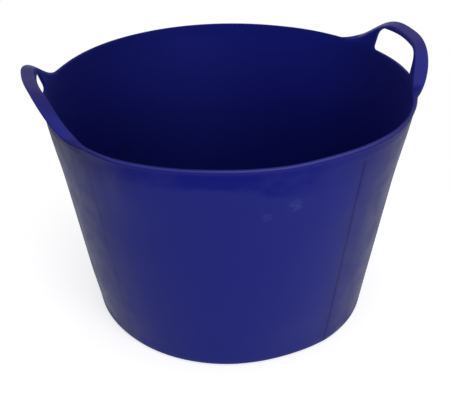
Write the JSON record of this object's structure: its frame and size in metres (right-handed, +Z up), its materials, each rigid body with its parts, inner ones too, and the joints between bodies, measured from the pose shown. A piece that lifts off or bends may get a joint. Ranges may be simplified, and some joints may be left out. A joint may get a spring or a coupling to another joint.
{
  "type": "flexible tub bucket",
  "caption": "Tapered flexible tub whose narrow outward lip climbs into a flared strap handle with a finger opening on each side.",
  "frame": {"origin": "centre of the foot, on the surface that the tub stands on", "axes": "+Z up, out of the mouth; +X towards the right handle, so both handles lie on the X axis; -Y is the front"},
  "size_m": [0.4918, 0.4512, 0.3371],
  "materials": {
    "tub_plastic": "satin moulded polyethylene, ultramarine, with light scuffs",
    "lip_plastic": "the same polyethylene, polished a little by hands along the lip and handles"
  },
  "bodies": {
    "root": {"tub_wall": "tub_plastic", "foot_ring": "tub_plastic", "tub_floor": "tub_plastic", "rim_front": "lip_plastic", "rim_back": "lip_plastic", "handle_right": "lip_plastic", "handle_left": "lip_plastic"}
  },
  "joints": []
}
